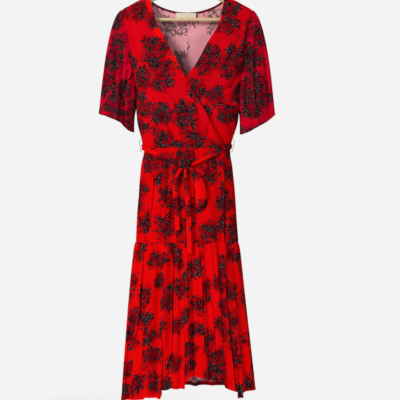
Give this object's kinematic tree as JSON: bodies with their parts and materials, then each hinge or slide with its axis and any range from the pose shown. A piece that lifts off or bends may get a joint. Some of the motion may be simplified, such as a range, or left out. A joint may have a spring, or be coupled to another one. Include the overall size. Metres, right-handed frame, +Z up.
{
  "type": "wrap dress on a hanger",
  "caption": "Midi wrap dress with V neck, flared elbow sleeves, tie belt and gathered tier, red with dark flower sprays, on a wooden hanger with a trouser bar and wire hook",
  "frame": {"origin": "the inside of the hook's top, where a rail carries the hanger", "axes": "+Z up, -Y out of the dress's front, +X to the wearer's left"},
  "size_m": [0.5376, 0.1717, 1.3259],
  "materials": {
    "printed_cloth": "soft plain-weave dress cloth, bright red with black and grey flower sprays, low sheen",
    "label_cloth": "cream woven satin label, blank",
    "thread": "dark red crocheted sewing thread",
    "pale_wood": "pale varnished hardwood, satin",
    "chromed_wire": "bright plated steel wire"
  },
  "bodies": {
    "root": {"bodice_front_right": "printed_cloth", "bodice_front_left": "printed_cloth", "bodice_back_right": "printed_cloth", "bodice_back_left": "printed_cloth", "sleeve_right": "printed_cloth", "sleeve_left": "printed_cloth", "back_neck_binding": "printed_cloth", "skirt_front_right": "printed_cloth", "skirt_front_left": "printed_cloth", "skirt_back": "printed_cloth", "tier_front_right": "printed_cloth", "tier_front_left": "printed_cloth", "tier_back": "printed_cloth", "belt_right_run": "printed_cloth", "belt_left_run": "printed_cloth", "belt_back_run": "printed_cloth", "belt_knot": "printed_cloth", "belt_bow_loop": "printed_cloth", "belt_tail_right": "printed_cloth", "belt_tail_left": "printed_cloth", "neck_label": "label_cloth", "thread_loop_right": "thread", "thread_loop_left": "thread", "hanger_arms": "pale_wood", "trouser_bar": "pale_wood", "hook_ferrule": "chromed_wire", "hook": "chromed_wire"}
  },
  "joints": []
}
